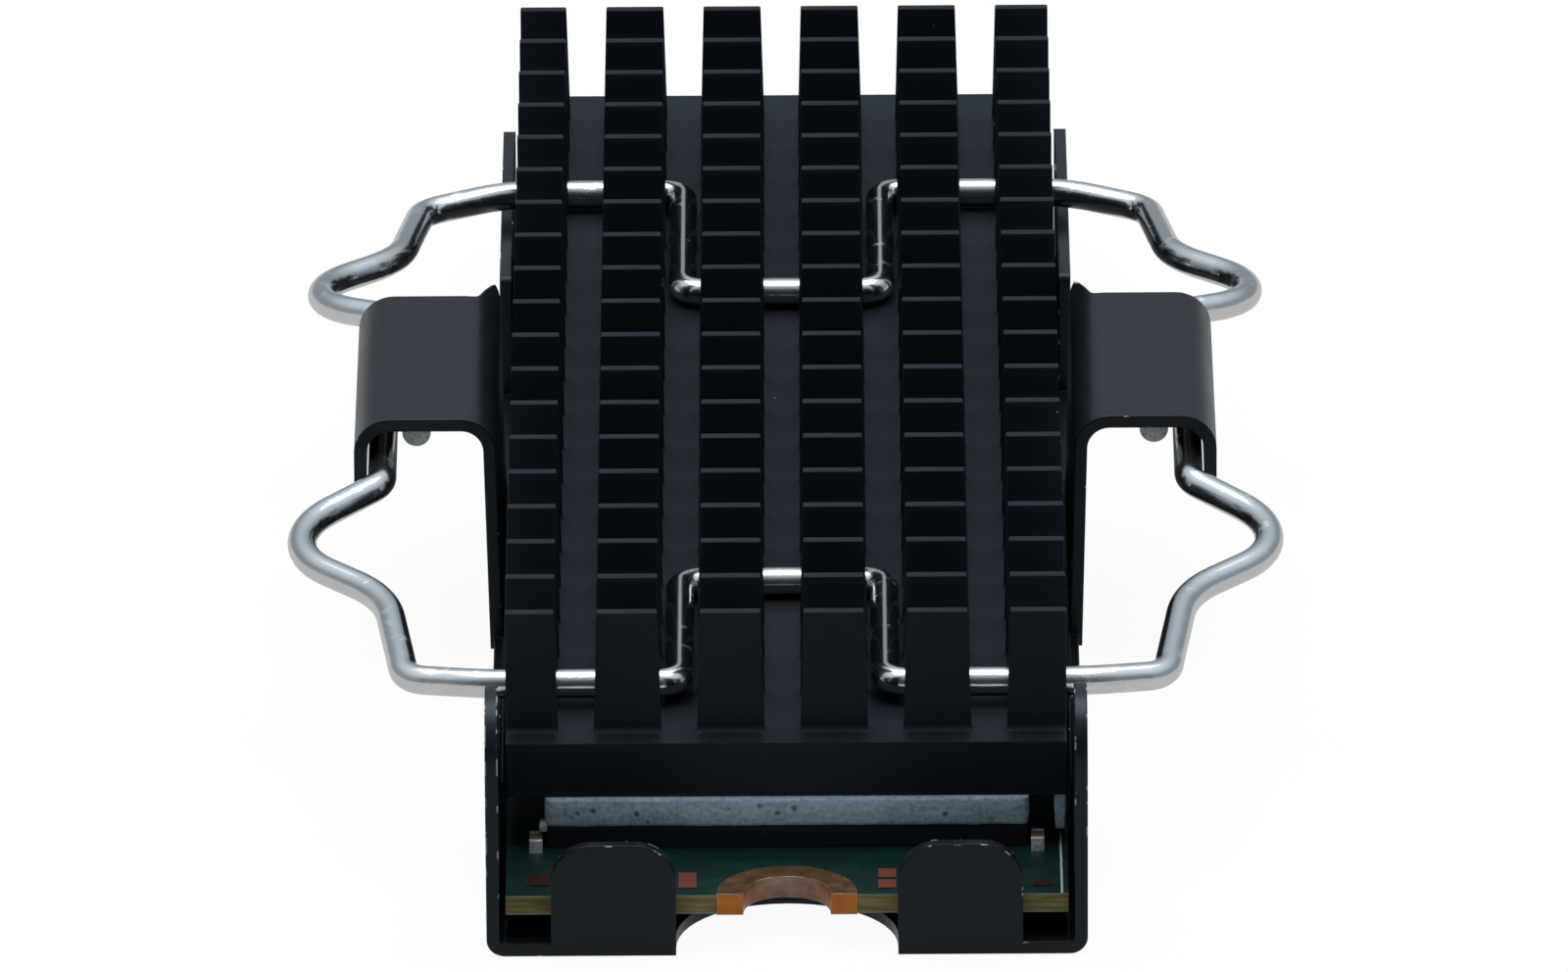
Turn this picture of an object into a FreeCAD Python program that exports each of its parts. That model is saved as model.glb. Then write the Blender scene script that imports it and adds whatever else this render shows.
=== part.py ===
# Gumstick solid state drive in a sprung cooling carrier: a memory card, two thermal pads, a pin-fin
# heat sink, a folded steel tray and two spring-wire clips.
# Millimetres. +X is right, +Y runs towards the card's edge connector, +Z is up, and the origin is
# at the middle of the underside.

import FreeCAD
import Part
import Sketcher
import math
import os
import re

doc = FreeCAD.newDocument("drive")
nodes = []

# Driving dimensions
sizes = {
    "board_length": 80, "board_width": 22, "board_thick": 0.8,
    "tongue_width": 19.85, "tongue_length": 4,
    "key_width": 1.2, "key_depth": 3.5, "key_offset": 6.125,
    "notch_radius": 1.75, "ring_width": 1, "copper_thick": 0.04,
    "finger_pitch": 0.5, "finger_width": 0.35, "finger_length": 2.5, "finger_setback": 0.5,
    "finger_places": 38, "key_clearance": 1, "land_width": 0.7,
    "sheet_thick": 0.5, "tray_width": 23.5, "tray_length": 72.6, "tray_bend": 0.7, "rim_height": 1.2,
    "post_length": 5, "post_height": 10.2, "post_round": 2.45,
    "wall_height": 6.35, "wall_round": 0.4, "front_wall_length": 13.5, "rear_wall_start": 55.7,
    "tab_gap": 0.25, "tab_width": 4.88, "tab_inner": 4.34, "tab_height": 4.65, "tab_round": 1.6,
    "ear_length": 13.4, "ear_height": 10.65, "ear_reach": 17.3, "ear_offset": 0.15, "ear_lean": 0.23,
    "ear_bend": 0.9, "lip_bend": 0.95, "lip_drop": 2.8, "slant_run": 3, "slant_reach": 0.37,
    "slant_round": 0.5, "slant_end": 0.15,
    "under_pad_thick": 0.95, "under_pad_width": 18, "under_pad_length": 54, "under_pad_start": 12,
    "chip_height": 0.95, "low_height": 0.5, "resistor_height": 0.35,
    "flash_width": 18.8, "flash_depth": 12, "flash_start": 4.75, "flash_step": 13.25,
    "memory_width": 13, "memory_depth": 7.5, "memory_start": 31.5,
    "controller_side": 14, "controller_start": 41,
    "holdup_width": 3.4, "holdup_depth": 2.8, "holdup_start": 57.5, "holdup_pitch": 4, "holdup_count": 4,
    "power_side": 5, "power_start": 63,
    "inductor_width": 2.5, "inductor_depth": 2, "inductor_start": 64, "inductor_pitch": 7,
    "crystal_width": 2, "crystal_depth": 1.6, "crystal_start": 69.2,
    "capacitor_width": 0.5, "capacitor_depth": 1,
    "corner_capacitor_reach": 9.85, "corner_capacitor_start": 4.3,
    "side_capacitor_reach": 9, "side_capacitor_pitch": 1.5, "side_capacitors": 9,
    "rear_capacitor_reach": 1.5, "rear_capacitor_pitch": 2, "rear_capacitor_start": 72.4,
    "rear_capacitors": 4,
    "resistor_width": 1, "resistor_depth": 0.5, "resistor_reach": 8.4, "resistor_start": 32,
    "resistor_pitch": 1.25, "side_resistors": 6,
    "top_pad_thick": 1.15, "top_pad_width": 19, "top_pad_length": 69.5, "top_pad_start": 4.65,
    "sink_width": 22, "sink_length": 70, "sink_start": 4.9, "base_thick": 2.27,
    "fin_height": 5, "fin_thick": 0.45, "fin_draft": 0.05, "fin_foot": 0.2, "fin_start": 1.26,
    "fin_pitch": 3.65, "fin_rows": 19,
    "channel_pitch": 4.055, "channel_top": 1.67, "channel_floor": 1.4, "channel_shift": -0.14,
    "channel_count": 5,
    "wire_diameter": 1.15, "wire_gap": 0.02, "front_bar_lift": 0.25, "rear_bar_lift": 0.05,
    "bar_distance": 26.5, "corner_distance": 25, "knee_distance": 18.15, "bulge_distance": 13.13,
    "hook_distance": 8.55, "hook_setback": 1.4, "hook_dip": 0.75, "jog_pitches": 3,
    "bar_reach": 11.6, "corner_reach": 15, "knee_reach": 15.85, "bulge_reach": 20.76,
    "front_hook_reach": 16.15, "rear_hook_reach": 14.8, "front_hook_gap": 0.18, "rear_hook_gap": 0.03,
    "corner_lift": -0.15, "knee_lift": 0.5, "bulge_lift": 0.75,
    "jog_bend": 0.9, "bar_bend": 6, "corner_bend": 1.5, "knee_bend": 5, "bulge_bend": 3.66, "hook_bend": 1.5,
    "edge_ease": 0.05,
}
sheet = doc.addObject("Spreadsheet::Sheet", "Sizes")
for row, (name, size) in enumerate(sizes.items(), start=1):
    sheet.set(f"A{row}", name)
    sheet.set(f"B{row}", str(size))
    sheet.setAlias(f"B{row}", name)
doc.recompute()

# Levels and places that follow from the driving dimensions
total_length = "(board_length + tab_gap + sheet_thick)"
tray_front = f"(-{total_length} / 2)"
board_front = f"({tray_front} + sheet_thick + tab_gap)"
board_bottom = "(sheet_thick + under_pad_thick)"
board_top = f"({board_bottom} + board_thick)"
chip_top = f"({board_top} + chip_height)"
sink_bottom = f"({chip_top} + top_pad_thick)"
base_top = f"({sink_bottom} + base_thick)"
ear_middle = "(tray_length / 2)"


def cells(expression):
    """Write each dimension's name as its cell in the sheet."""
    return re.sub(r"[a-z_]+", lambda word: f"Sizes.{word[0]}" if word[0] in sizes else word[0], expression)


def number(expression):
    return float(sheet.evalExpression(expression))


def bind(thing, prop, expression):
    thing.setExpression(prop, cells(expression))


def place(thing, x, y, z):
    bind(thing, "Placement.Base.x", x)
    bind(thing, "Placement.Base.y", y)
    bind(thing, "Placement.Base.z", z)


def plane_of(body, role):
    return next(plane for plane in body.Origin.OriginFeatures if plane.Role == role)


def outline(body, name, role, corners, offset="0"):
    """Draw a closed outline of corners (across, up, radius) on one of the body's origin planes."""
    sketch = body.newObject("Sketcher::SketchObject", name)
    sketch.AttachmentSupport = [(plane_of(body, role), "")]
    sketch.MapMode = "FlatFace"
    bind(sketch, "AttachmentOffset.Base.z", offset)
    points = [FreeCAD.Vector(number(across), number(up), 0) for across, up, radius in corners]
    count = len(points)
    arrive, leave, turns = [], [], []
    for i, (across, up, radius) in enumerate(corners):
        before = (points[i] - points[i - 1]).normalize()
        after = (points[(i + 1) % count] - points[i]).normalize()
        turn = math.atan2(before.cross(after).z, before.dot(after))
        cut = number(radius) * math.tan(abs(turn) / 2) if radius else 0
        arrive.append(points[i] - before * cut)
        leave.append(points[i] + after * cut)
        turns.append(turn)
    for i in range(count):
        sketch.addGeometry(Part.LineSegment(leave[i], arrive[(i + 1) % count]))
    for i, (across, up, radius) in enumerate(corners):
        line_in, line_out = (i - 1) % count, i
        if radius:
            side = math.copysign(1, turns[i])
            inward = (arrive[i] - points[i]).normalize() + (leave[i] - points[i]).normalize()
            reach = number(radius) / math.cos(turns[i] / 2)
            centre = points[i] + inward.normalize() * reach
            first, last = (arrive[i], leave[i]) if side > 0 else (leave[i], arrive[i])
            angles = [math.atan2(p.y - centre.y, p.x - centre.x) for p in (first, last)]
            circle = Part.Circle(centre, FreeCAD.Vector(0, 0, 1), number(radius))
            arc = sketch.addGeometry(Part.ArcOfCircle(circle, angles[0], angles[1]))
            joint_in, joint_out = (1, 2) if side > 0 else (2, 1)
            sketch.addConstraint(Sketcher.Constraint("Tangent", line_in, 2, arc, joint_in))
            sketch.addConstraint(Sketcher.Constraint("Tangent", line_out, 1, arc, joint_out))
            held = sketch.addConstraint(Sketcher.Constraint("Radius", arc, number(radius)))
            bind(sketch, f"Constraints[{held}]", radius)
            corner = sketch.addGeometry(Part.Point(points[i]), True)
            sketch.addConstraint(Sketcher.Constraint("PointOnObject", corner, 1, line_in))
            sketch.addConstraint(Sketcher.Constraint("PointOnObject", corner, 1, line_out))
        else:
            corner = line_out
            sketch.addConstraint(Sketcher.Constraint("Coincident", line_in, 2, line_out, 1))
        for kind, expression in (("DistanceX", across), ("DistanceY", up)):
            held = sketch.addConstraint(Sketcher.Constraint(kind, -1, 1, corner, 1, number(expression)))
            bind(sketch, f"Constraints[{held}]", expression)
    return sketch


def pad(body, sketch, length, backwards=False):
    feature = body.newObject("PartDesign::Pad", f"{sketch.Name}_pad")
    feature.Profile = sketch
    feature.Reversed = backwards
    bind(feature, "Length", length)
    return feature


def pocket(body, sketch, backwards=False):
    feature = body.newObject("PartDesign::Pocket", f"{sketch.Name}_pocket")
    feature.Profile = sketch
    feature.Type = "ThroughAll"
    feature.Reversed = backwards
    return feature


def repeat(body, feature, axis, pitch, occurrences):
    doc.recompute()
    pattern = body.newObject("PartDesign::LinearPattern", f"{feature.Name}_row")
    pattern.Originals = [feature]
    pattern.Direction = (plane_of(body, axis), [""])
    bind(pattern, "Length", f"{pitch} * ({occurrences} - 1)")
    bind(pattern, "Occurrences", occurrences)
    body.Tip = pattern
    return pattern


def new_body(label):
    body = doc.addObject("PartDesign::Body", label)
    body.Label = label
    nodes.append(body)
    return body


def block(label, middle_x, start_y, bottom_z, width, depth, height):
    """A box placed by the middle of its front bottom edge, with start_y counted from the board's edge."""
    box = doc.addObject("Part::Box", label)
    bind(box, "Length", width)
    bind(box, "Width", depth)
    bind(box, "Height", height)
    place(box, f"{middle_x} - ({width}) / 2", f"{board_front} + {start_y}", bottom_z)
    return box


def single(label, *box_sizes):
    box = block(label, *box_sizes)
    box.Label = label
    nodes.append(box)


def group(label, boxes):
    compound = doc.addObject("Part::Compound", label)
    compound.Links = boxes
    compound.Label = label
    nodes.append(compound)


# Carrier tray: one folded steel sheet
tray = new_body("carrier_tray")
place(tray, "0", tray_front, "0")
half, inner = "tray_width / 2", "(tray_width / 2 - sheet_thick)"
channel_section = [
    (f"-{half}", "rim_height", None), (f"-{half}", "0", "tray_bend"),
    (half, "0", "tray_bend"), (half, "rim_height", None),
    (inner, "rim_height", None), (inner, "sheet_thick", "tray_bend - sheet_thick"),
    (f"-{inner}", "sheet_thick", "tray_bend - sheet_thick"), (f"-{inner}", "rim_height", None),
]
pad(tray, outline(tray, "channel_section", "XZ_Plane", channel_section), "tray_length", True)
root = "rim_height - sheet_thick"
beyond = "1"
front_wall = [
    ("0", root, None), ("front_wall_length", root, None),
    ("front_wall_length", "wall_height", "wall_round"), ("post_length", "wall_height", "wall_round"),
    ("post_length", "post_height", "post_round"), ("0", "post_height", "post_round"),
]
rear_wall = [
    ("rear_wall_start", root, None), ("tray_length", root, None),
    ("tray_length", "wall_height", "wall_round"), ("rear_wall_start", "wall_height", "wall_round"),
]
ear_start, ear_end = f"({ear_middle} - ear_length / 2)", f"({ear_middle} + ear_length / 2)"
for side, sign, face in (("right", "", inner), ("left", "-", f"-{half}")):
    tab_outer = f"{sign}(tab_inner + tab_width)"
    tab_face = [
        (f"{sign}tab_inner", "0", None), (tab_outer, "0", None),
        (tab_outer, "tab_height", "tab_round"), (f"{sign}tab_inner", "tab_height", "tab_round"),
    ]
    pad(tray, outline(tray, f"{side}_tab", "XZ_Plane", tab_face), "sheet_thick", True)
    for name, wall in (("front_wall", front_wall), ("rear_wall", rear_wall)):
        pad(tray, outline(tray, f"{side}_{name}", "YZ_Plane", wall, face), "sheet_thick")
    foot_in, foot_out = f"{sign}({inner} + ear_offset)", f"{sign}({half} + ear_offset)"
    head_in, head_out = f"{sign}({inner} + ear_offset + ear_lean)", f"{sign}({half} + ear_offset + ear_lean)"
    ear_section = [
        (foot_in, root, None), (head_in, "ear_height", "ear_bend + sheet_thick"),
        (f"{sign}ear_reach", "ear_height", "lip_bend + sheet_thick"),
        (f"{sign}ear_reach", "ear_height - lip_drop", None),
        (f"{sign}(ear_reach - sheet_thick)", "ear_height - lip_drop", None),
        (f"{sign}(ear_reach - sheet_thick)", "ear_height - sheet_thick", "lip_bend"),
        (head_out, "ear_height - sheet_thick", "ear_bend"), (foot_out, root, None),
    ]
    ear = outline(tray, f"{side}_ear", "XZ_Plane", ear_section, f"-{ear_start}")
    pad(tray, ear, "ear_length + slant_run", True)
    # The rear of the ear is cut off on a slant, from its roof across the bend and through its wall
    clear, slant_tip = f"{sign}(ear_reach + {beyond})", f"{head_in} + {sign}slant_end"
    slant_stop = f"{ear_end} + slant_run"
    slant_cut = [
        (clear, ear_end, None), (f"{head_out} + {sign}slant_reach", ear_end, "slant_round"),
        (slant_tip, slant_stop, None), (slant_tip, f"{slant_stop} + {beyond}", None),
        (clear, f"{slant_stop} + {beyond}", None),
    ]
    pocket(tray, outline(tray, f"{side}_slant_cut", "XY_Plane", slant_cut), True)
arch_end = "sheet_thick + tab_gap + tab_inner"
arch = [
    ("-tab_inner", f"-{beyond}", None), ("tab_inner", f"-{beyond}", None),
    ("tab_inner", arch_end, "tab_inner - edge_ease"), ("-tab_inner", arch_end, "tab_inner - edge_ease"),
]
pocket(tray, outline(tray, "screw_arch", "XY_Plane", arch), True)

# Thermal pads under and over the card
single("bottom_thermal_pad", "0", "under_pad_start", "sheet_thick",
       "under_pad_width", "under_pad_length", "under_pad_thick")
single("top_thermal_pad", "0", "top_pad_start", chip_top, "top_pad_width", "top_pad_length", "top_pad_thick")

# Circuit board with its connector tongue, key slot and screw notch
board = new_body("circuit_board")
place(board, "0", board_front, board_bottom)
shoulder_y = "board_length - tongue_length"
key_near, key_far = "-key_offset + key_width / 2", "-key_offset - key_width / 2"
key_end = "board_length - key_depth"
board_outline = [
    ("-board_width / 2", "0", None), ("-notch_radius", "0", None),
    ("-notch_radius", "notch_radius", "notch_radius - edge_ease"),
    ("notch_radius", "notch_radius", "notch_radius - edge_ease"),
    ("notch_radius", "0", None), ("board_width / 2", "0", None),
    ("board_width / 2", shoulder_y, None), ("tongue_width / 2", shoulder_y, None),
    ("tongue_width / 2", "board_length", None), (key_near, "board_length", None),
    (key_near, key_end, "key_width / 2 - edge_ease"), (key_far, key_end, "key_width / 2 - edge_ease"),
    (key_far, "board_length", None), ("-tongue_width / 2", "board_length", None),
    ("-tongue_width / 2", shoulder_y, None), ("-board_width / 2", shoulder_y, None),
]
pad(board, outline(board, "board_outline", "XY_Plane", board_outline), "board_thick")

# Copper ring around the screw notch, plated through it and over the board's edge beside it
ring = new_body("mounting_ring")
place(ring, "0", board_front, f"{board_bottom} - copper_thick")


def arch_band(outer, outer_round, inside):
    """A half ring standing on the board's front edge."""
    inside_round = f"{inside} - edge_ease"
    return [
        (f"-({outer})", "0", None), (f"-({outer})", outer, outer_round),
        (outer, outer, outer_round), (outer, "0", None), (inside, "0", None),
        (inside, inside, inside_round), (f"-({inside})", inside, inside_round), (f"-({inside})", "0", None),
    ]


bore = "(notch_radius - copper_thick)"
barrel = arch_band("notch_radius", "notch_radius - edge_ease", bore)
pad(ring, outline(ring, "barrel", "XY_Plane", barrel), "board_thick + 2 * copper_thick")
rim_reach = "(notch_radius + ring_width)"
rim = arch_band(rim_reach, f"{rim_reach} - edge_ease", bore)
for face, level in (("lower", "0"), ("upper", "board_thick + copper_thick")):
    pad(ring, outline(ring, f"{face}_rim", "XY_Plane", rim, level), "copper_thick")
for side, sign in (("right", ""), ("left", "-")):
    edge_plate = [
        (f"{sign}{bore}", "-copper_thick", None), (f"{sign}{rim_reach}", "-copper_thick", None),
        (f"{sign}{rim_reach}", "0", None), (f"{sign}{bore}", "0", None),
    ]
    plating = outline(ring, f"{side}_edge_plate", "XY_Plane", edge_plate)
    pad(ring, plating, "board_thick + 2 * copper_thick")

# Bare copper lands along the board's front edge, by their middle across, their start and their depth
land_places = ((-9.69, 0.95, 1.15), (-3.89, 0.65, 1.5), (3.92, 1.6, 0.85), (3.92, 0.55, 0.8), (10, 0.7, 0.5))
group("copper_lands", [
    block(f"land_{i}", f"({across})", f"{start}", board_top, "land_width", f"{depth}", "copper_thick")
    for i, (across, start, depth) in enumerate(land_places)
])

# Edge contacts: a row of gilt strips on each face of the tongue, broken by the key slot
contact_start = "(board_length - finger_setback - finger_length)"
for label, level, places in (
    ("edge_contacts_top", board_top, int(number("finger_places"))),
    ("edge_contacts_bottom", f"({board_bottom} - copper_thick)", int(number("finger_places - 1"))),
):
    from_middle = [f"(({i} - {places - 1} / 2) * finger_pitch)" for i in range(places)]
    group(label, [
        block(f"{label}_{i}", across, contact_start, level, "finger_width", "finger_length", "copper_thick")
        for i, across in enumerate(from_middle)
        if abs(number(f"{across} + key_offset")) > number("key_clearance")
    ])

# Chips soldered to the board, front to back
for place_word, step in (("front", "0"), ("second", "1")):
    single(f"{place_word}_flash_chip", "0", f"(flash_start + {step} * flash_step)", board_top,
           "flash_width", "flash_depth", "chip_height")
single("working_memory_chip", "0", "memory_start", board_top, "memory_width", "memory_depth", "chip_height")
single("controller_chip", "0", "controller_start", board_top,
       "controller_side", "controller_side", "chip_height")
single("power_chip", "0", "power_start", board_top, "power_side", "power_side", "chip_height")
single("clock_crystal", "0", "crystal_start", board_top, "crystal_width", "crystal_depth", "low_height")
group("power_inductors", [
    block(f"inductor_{side}", f"({side} * inductor_pitch)", "inductor_start", board_top,
          "inductor_width", "inductor_depth", "chip_height")
    for side in (-1, 1)
])
group("holdup_capacitors", [
    block(f"holdup_{i}", f"(({i} - (holdup_count - 1) / 2) * holdup_pitch)", "holdup_start", board_top,
          "holdup_width", "holdup_depth", "chip_height")
    for i in range(int(number("holdup_count")))
])
capacitor_places = [("corner_capacitor_reach", "corner_capacitor_start")]
capacitor_places += [
    ("side_capacitor_reach", f"(controller_start + {i} * side_capacitor_pitch)")
    for i in range(int(number("side_capacitors")))
]
capacitor_places += [
    (f"(rear_capacitor_reach + {i} * rear_capacitor_pitch)", "rear_capacitor_start")
    for i in range(int(number("rear_capacitors")))
]
group("ceramic_capacitors", [
    block(f"capacitor_{i}_{side}", f"({side} * {across})", start, board_top,
          "capacitor_width", "capacitor_depth", "low_height")
    for i, (across, start) in enumerate(capacitor_places) for side in (-1, 1)
])
group("resistors", [
    block(f"resistor_{i}_{side}", f"({side} * resistor_reach)", f"(resistor_start + {i} * resistor_pitch)",
          board_top, "resistor_width", "resistor_depth", "resistor_height")
    for i in range(int(number("side_resistors"))) for side in (-1, 1)
])

# Heat sink: fin ribs across the base, then channels sawn along it
sink = new_body("heat_sink")
place(sink, "0", f"{board_front} + sink_start", sink_bottom)
base = [
    ("-sink_width / 2", "0", None), ("sink_width / 2", "0", None),
    ("sink_width / 2", "sink_length", None), ("-sink_width / 2", "sink_length", None),
]
pad(sink, outline(sink, "base", "XY_Plane", base), "base_thick")
fin_middle = "(fin_start + fin_thick / 2)"
root_half = "(fin_thick / 2 + fin_draft)"
foot_half = f"({root_half} + fin_foot)"
fin_top = "base_thick + fin_height"
rib = [
    (f"{fin_middle} - {foot_half}", "base_thick - edge_ease", None),
    (f"{fin_middle} + {foot_half}", "base_thick - edge_ease", None),
    (f"{fin_middle} + {foot_half}", "base_thick", None),
    (f"{fin_middle} + {root_half}", "base_thick + fin_foot", None),
    (f"{fin_middle} + fin_thick / 2", fin_top, None), (f"{fin_middle} - fin_thick / 2", fin_top, None),
    (f"{fin_middle} - {root_half}", "base_thick + fin_foot", None),
    (f"{fin_middle} - {foot_half}", "base_thick", None),
]
fin_rib = pad(sink, outline(sink, "rib", "YZ_Plane", rib, "-sink_width / 2"), "sink_width")
repeat(sink, fin_rib, "Y_Axis", "fin_pitch", "fin_rows")
saw_middle = "(channel_shift - channel_pitch * (channel_count - 1) / 2)"
saw_flare = f"((channel_top - channel_floor) * (fin_height + {beyond}) / fin_height)"
saw_half = f"(channel_floor + {saw_flare}) / 2"
saw = [
    (f"{saw_middle} - channel_floor / 2", "base_thick", None),
    (f"{saw_middle} + channel_floor / 2", "base_thick", None),
    (f"{saw_middle} + {saw_half}", f"{fin_top} + {beyond}", None),
    (f"{saw_middle} - {saw_half}", f"{fin_top} + {beyond}", None),
]
saw_cut = pocket(sink, outline(sink, "saw", "XZ_Plane", saw))
repeat(sink, saw_cut, "X_Axis", "channel_pitch", "channel_count")


def bent_wire(points, radii):
    """Straight runs through the points, joined by tangent arcs."""
    edges = []
    start = points[0]
    for i, radius in enumerate(radii, start=1):
        before = (points[i] - points[i - 1]).normalize()
        after = (points[i + 1] - points[i]).normalize()
        half_turn = before.getAngle(after) / 2
        cut = radius * math.tan(half_turn)
        arc_start = points[i] - before * cut
        arc_end = points[i] + after * cut
        crown = points[i] + (after - before).normalize() * radius * (1 / math.cos(half_turn) - 1)
        edges.append(Part.LineSegment(start, arc_start).toShape())
        edges.append(Part.Arc(arc_start, crown, arc_end).toShape())
        start = arc_end
    edges.append(Part.LineSegment(start, points[-1]).toShape())
    return Part.Wire(edges)


# Spring-wire clips: a bar with a jog between the fins, and arms sprung under the tray's ears
rest_level = number(f"{base_top} + wire_diameter / 2")
middle_y = number(f"{tray_front} + {ear_middle}")
half_bends = [number(f"{bend}_bend") for bend in ("hook", "bulge", "knee", "corner", "bar", "jog", "jog")]
jog_distance = number("bar_distance - jog_pitches * fin_pitch")
shift = number("channel_shift")
for end, toward in (("front", -1), ("rear", 1)):
    label = f"{end}_spring_clip"
    hook_reach, bar_lift = number(f"{end}_hook_reach"), number(f"{end}_bar_lift")
    hook_level = number(f"ear_height - sheet_thick - wire_diameter / 2 - {end}_hook_gap")
    stations = [
        (hook_reach, number("hook_setback - ear_length / 2"), hook_level, 0),
        (hook_reach, number("hook_distance"), hook_level - number("hook_dip"), 0),
        (number("bulge_reach"), number("bulge_distance"), rest_level + number("bulge_lift"), 0),
        (number("knee_reach"), number("knee_distance"), rest_level + number("knee_lift"), 0),
        (number("corner_reach"), number("corner_distance"), rest_level + number("corner_lift"), 0),
        (number("bar_reach"), number("bar_distance"), rest_level + bar_lift, 0),
        (number("channel_pitch"), number("bar_distance"), rest_level + bar_lift, shift),
        (number("channel_pitch"), jog_distance, rest_level + number("wire_gap"), shift),
    ]
    halves = [[
        FreeCAD.Vector(side * reach + offset, middle_y + toward * distance, level)
        for reach, distance, level, offset in stations
    ] for side in (-1, 1)]
    route = bent_wire(halves[0] + halves[1][::-1], half_bends + half_bends[::-1])
    path = doc.addObject("Part::Feature", f"{label}_path")
    path.Shape = route
    section = doc.addObject("Part::Circle", f"{label}_section")
    bind(section, "Radius", "wire_diameter / 2")
    across_wire = FreeCAD.Rotation(FreeCAD.Vector(0, 0, 1), halves[0][1] - halves[0][0])
    section.Placement = FreeCAD.Placement(halves[0][0], across_wire)
    clip = doc.addObject("Part::Sweep", label)
    clip.Label = label
    clip.Sections = [section]
    clip.Spine = path
    clip.Solid = True
    nodes.append(clip)
    expected = route.Length * math.pi * number("wire_diameter / 2") ** 2
    doc.recompute()
    print(label, "volume", round(clip.Shape.Volume, 3), "section times length", round(expected, 3))

# Check every object, then write each sub-part to its own file
doc.recompute()
for thing in doc.Objects:
    if "Invalid" in thing.State or "Error" in thing.State:
        raise RuntimeError(f"{thing.Name} failed: {thing.State}")
for node in nodes:
    if node.Shape.isNull() or not node.Shape.isValid():
        raise RuntimeError(f"{node.Label} has no valid shape")
os.makedirs("parts", exist_ok=True)
for node in nodes:
    node.Shape.exportStep(f"parts/{node.Label}.step")
    print(node.Label, len(node.Shape.Solids), "solids", round(node.Shape.Volume, 3), "mm3")
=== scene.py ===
# Looks of a gumstick solid state drive in its sprung cooling carrier.
# Metres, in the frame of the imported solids: +X right, +Y towards the edge connector, +Z up.

import math

import bmesh
import bpy
from mathutils import Matrix, Vector, noise


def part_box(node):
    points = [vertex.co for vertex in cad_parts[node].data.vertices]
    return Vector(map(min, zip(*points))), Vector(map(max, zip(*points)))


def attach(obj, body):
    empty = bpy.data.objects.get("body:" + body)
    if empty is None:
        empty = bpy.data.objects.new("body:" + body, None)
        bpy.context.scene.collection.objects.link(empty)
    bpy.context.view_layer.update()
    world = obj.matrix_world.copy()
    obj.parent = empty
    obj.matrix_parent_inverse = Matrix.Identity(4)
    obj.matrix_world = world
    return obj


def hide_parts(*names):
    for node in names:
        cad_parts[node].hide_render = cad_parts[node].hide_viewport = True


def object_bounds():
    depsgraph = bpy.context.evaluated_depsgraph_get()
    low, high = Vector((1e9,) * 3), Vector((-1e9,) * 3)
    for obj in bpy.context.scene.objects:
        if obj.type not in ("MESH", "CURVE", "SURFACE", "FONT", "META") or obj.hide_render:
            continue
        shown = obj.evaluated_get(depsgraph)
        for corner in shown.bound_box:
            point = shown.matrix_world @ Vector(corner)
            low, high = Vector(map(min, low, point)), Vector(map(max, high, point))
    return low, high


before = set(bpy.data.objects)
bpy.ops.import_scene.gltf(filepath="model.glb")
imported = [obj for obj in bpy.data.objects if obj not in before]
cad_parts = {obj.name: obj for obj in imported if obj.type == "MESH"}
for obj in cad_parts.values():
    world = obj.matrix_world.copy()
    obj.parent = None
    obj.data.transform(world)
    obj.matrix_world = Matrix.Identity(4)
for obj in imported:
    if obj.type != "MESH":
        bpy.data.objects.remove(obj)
solid_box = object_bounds()
mm = 0.001


# Carrier tray
# One sheet of half-millimetre steel, blanked and folded into a floor, front tabs, side walls with a post in
# front, and the ears that hold the clips. It was painted satin black after folding, and the paint has chipped
# along its edges, mostly near the front and on the left post.

def fill(target, inputs):
    """Set or link a shader node's inputs."""
    for socket, value in inputs.items():
        if isinstance(value, bpy.types.NodeSocket):
            target.id_data.links.new(value, target.inputs[socket])
        else:
            target.inputs[socket].default_value = value


def add(tree, kind, inputs=None, **options):
    """A new shader node with its options and inputs."""
    made = tree.nodes.new(f"ShaderNode{kind}")
    for option, value in options.items():
        setattr(made, option, value)
    fill(made, inputs or {})
    return made


def new_finish(name):
    """A material with its tree of nodes and its shader."""
    material = bpy.data.materials.new(name)
    material.use_nodes = True
    return material, material.node_tree, material.node_tree.nodes["Principled BSDF"]


def axes(tree, source, output):
    """The X, Y and Z of a place or of a direction."""
    vector = add(tree, source).outputs[output]
    return add(tree, "SeparateXYZ", {"Vector": vector}).outputs


def cloud(tree, size, detail, stretch=(1, 1, 1)):
    """Smooth noise whose lumps are about the given size, longer where the stretch is small."""
    place = add(tree, "TexCoord").outputs["Object"]
    place = add(tree, "Mapping", {"Vector": place, "Scale": stretch}).outputs["Vector"]
    return add(tree, "TexNoise", {"Vector": place, "Scale": 1 / size, "Detail": detail}).outputs["Fac"]


def ramp(tree, value, start, end, low=0.0, high=1.0):
    """Carry a value from one range to another, held at both ends."""
    span = {"Value": value, "From Min": start, "From Max": end, "To Min": low, "To Max": high}
    return add(tree, "MapRange", span).outputs["Result"]


def spread(tree, clouded, low=0.0, high=1.0):
    """Carry a cloud's usual values, 0.3 to 0.7, to another range."""
    return ramp(tree, clouded, 0.3, 0.7, low, high)


def sums(tree, operation, first, second=0.0):
    """Arithmetic on one or two numbers."""
    return add(tree, "Math", {0: first, 1: second}, operation=operation).outputs["Value"]


def blend_values(tree, share, first, second):
    """The first number where the share is nought, the second where it is one."""
    return add(tree, "Mix", {0: share, 2: first, 3: second}, data_type="FLOAT").outputs[0]


def blend_colours(tree, share, first, second):
    """The first colour where the share is nought, the second where it is one."""
    return add(tree, "Mix", {0: share, 6: first, 7: second}, data_type="RGBA").outputs[2]


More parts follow.
